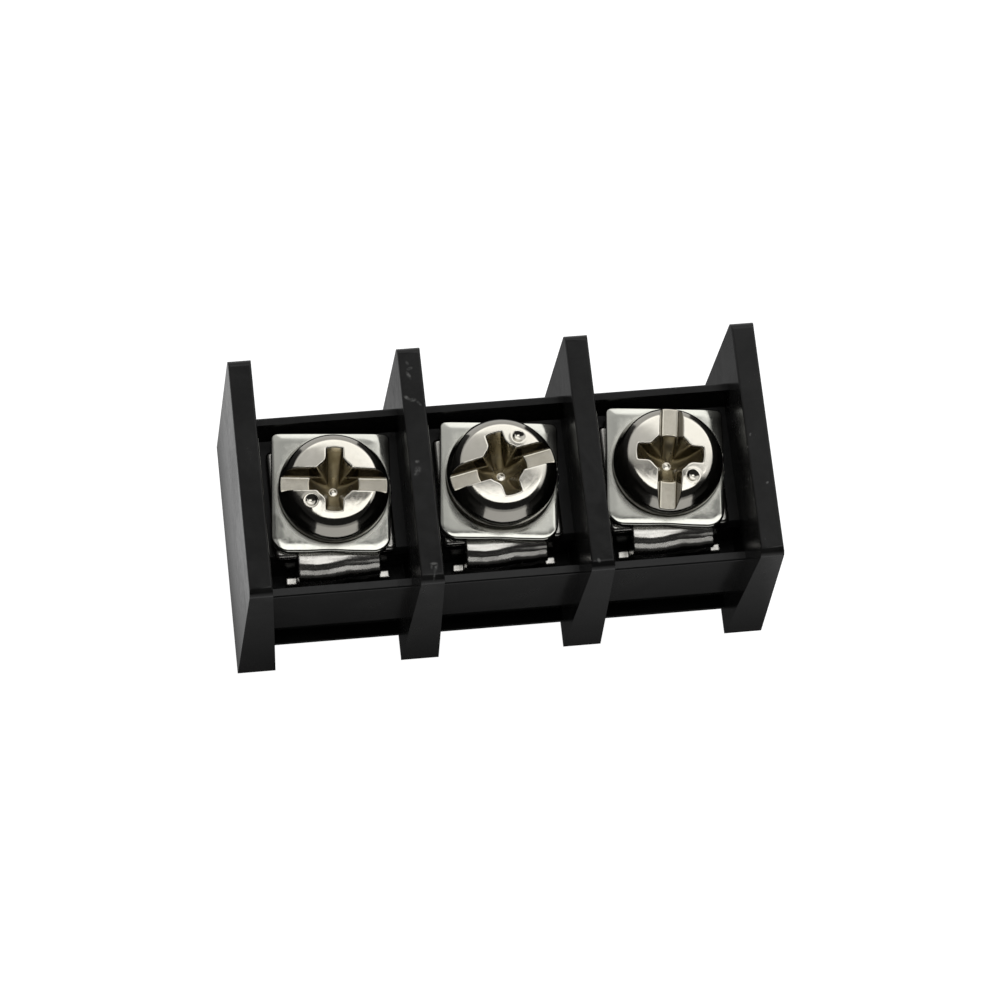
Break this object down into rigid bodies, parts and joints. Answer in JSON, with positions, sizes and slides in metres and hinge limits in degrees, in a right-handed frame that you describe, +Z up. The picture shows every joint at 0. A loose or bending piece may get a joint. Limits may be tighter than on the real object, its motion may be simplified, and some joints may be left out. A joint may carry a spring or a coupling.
{
  "type": "barrier terminal block",
  "caption": "Black moulded barrier terminal block for a circuit board, with plated terminals, slotted cross-recess clamp screws, captive square washers and solder pins.",
  "frame": {"origin": "middle of the underside, on the board's surface, below the middle screw", "axes": "+X along the row of poles, -Y to the wire side, +Z up from the board"},
  "size_m": [0.0308, 0.014, 0.0176],
  "materials": {
    "housing": "black satin moulded plastic with faint flow marks and scuffs",
    "terminal": "bright nickel plate on stamped brass",
    "square_washer": "bright nickel plate on stamped steel",
    "screw": "bright nickel plate on cold-headed steel, slightly warm in the recess"
  },
  "bodies": {
    "block": {"housing": "housing", "terminal_1": "terminal", "terminal_2": "terminal", "terminal_3": "terminal"},
    "washer_1": {"square_washer_1": "square_washer"},
    "screw_1": {"screw_1": "screw"},
    "washer_2": {"square_washer_2": "square_washer"},
    "screw_2": {"screw_2": "screw"},
    "washer_3": {"square_washer_3": "square_washer"},
    "screw_3": {"screw_3": "screw"}
  },
  "joints": [
    {"name": "washer_1_lift", "type": "slide", "parent": "block", "child": "washer_1", "axis": [0, 0, 1], "range_m": [0, 0.003]},
    {"name": "screw_1_turn", "type": "hinge", "parent": "washer_1", "child": "screw_1", "pos_m": [-0.0095, 0, 0.01038], "axis": [0, 0, 1], "range_deg": [0, 1800]},
    {"name": "washer_2_lift", "type": "slide", "parent": "block", "child": "washer_2", "axis": [0, 0, 1], "range_m": [0, 0.003]},
    {"name": "screw_2_turn", "type": "hinge", "parent": "washer_2", "child": "screw_2", "pos_m": [0, 0, 0.01038], "axis": [0, 0, 1], "range_deg": [0, 1800]},
    {"name": "washer_3_lift", "type": "slide", "parent": "block", "child": "washer_3", "axis": [0, 0, 1], "range_m": [0, 0.003]},
    {"name": "screw_3_turn", "type": "hinge", "parent": "washer_3", "child": "screw_3", "pos_m": [0.0095, 0, 0.01038], "axis": [0, 0, 1], "range_deg": [0, 1800]}
  ],
  "couplings": [
    {"joint": "screw_1_turn", "follows": "washer_1_lift", "rad_per_m": 10472},
    {"joint": "screw_2_turn", "follows": "washer_2_lift", "rad_per_m": 10472},
    {"joint": "screw_3_turn", "follows": "washer_3_lift", "rad_per_m": 10472}
  ]
}
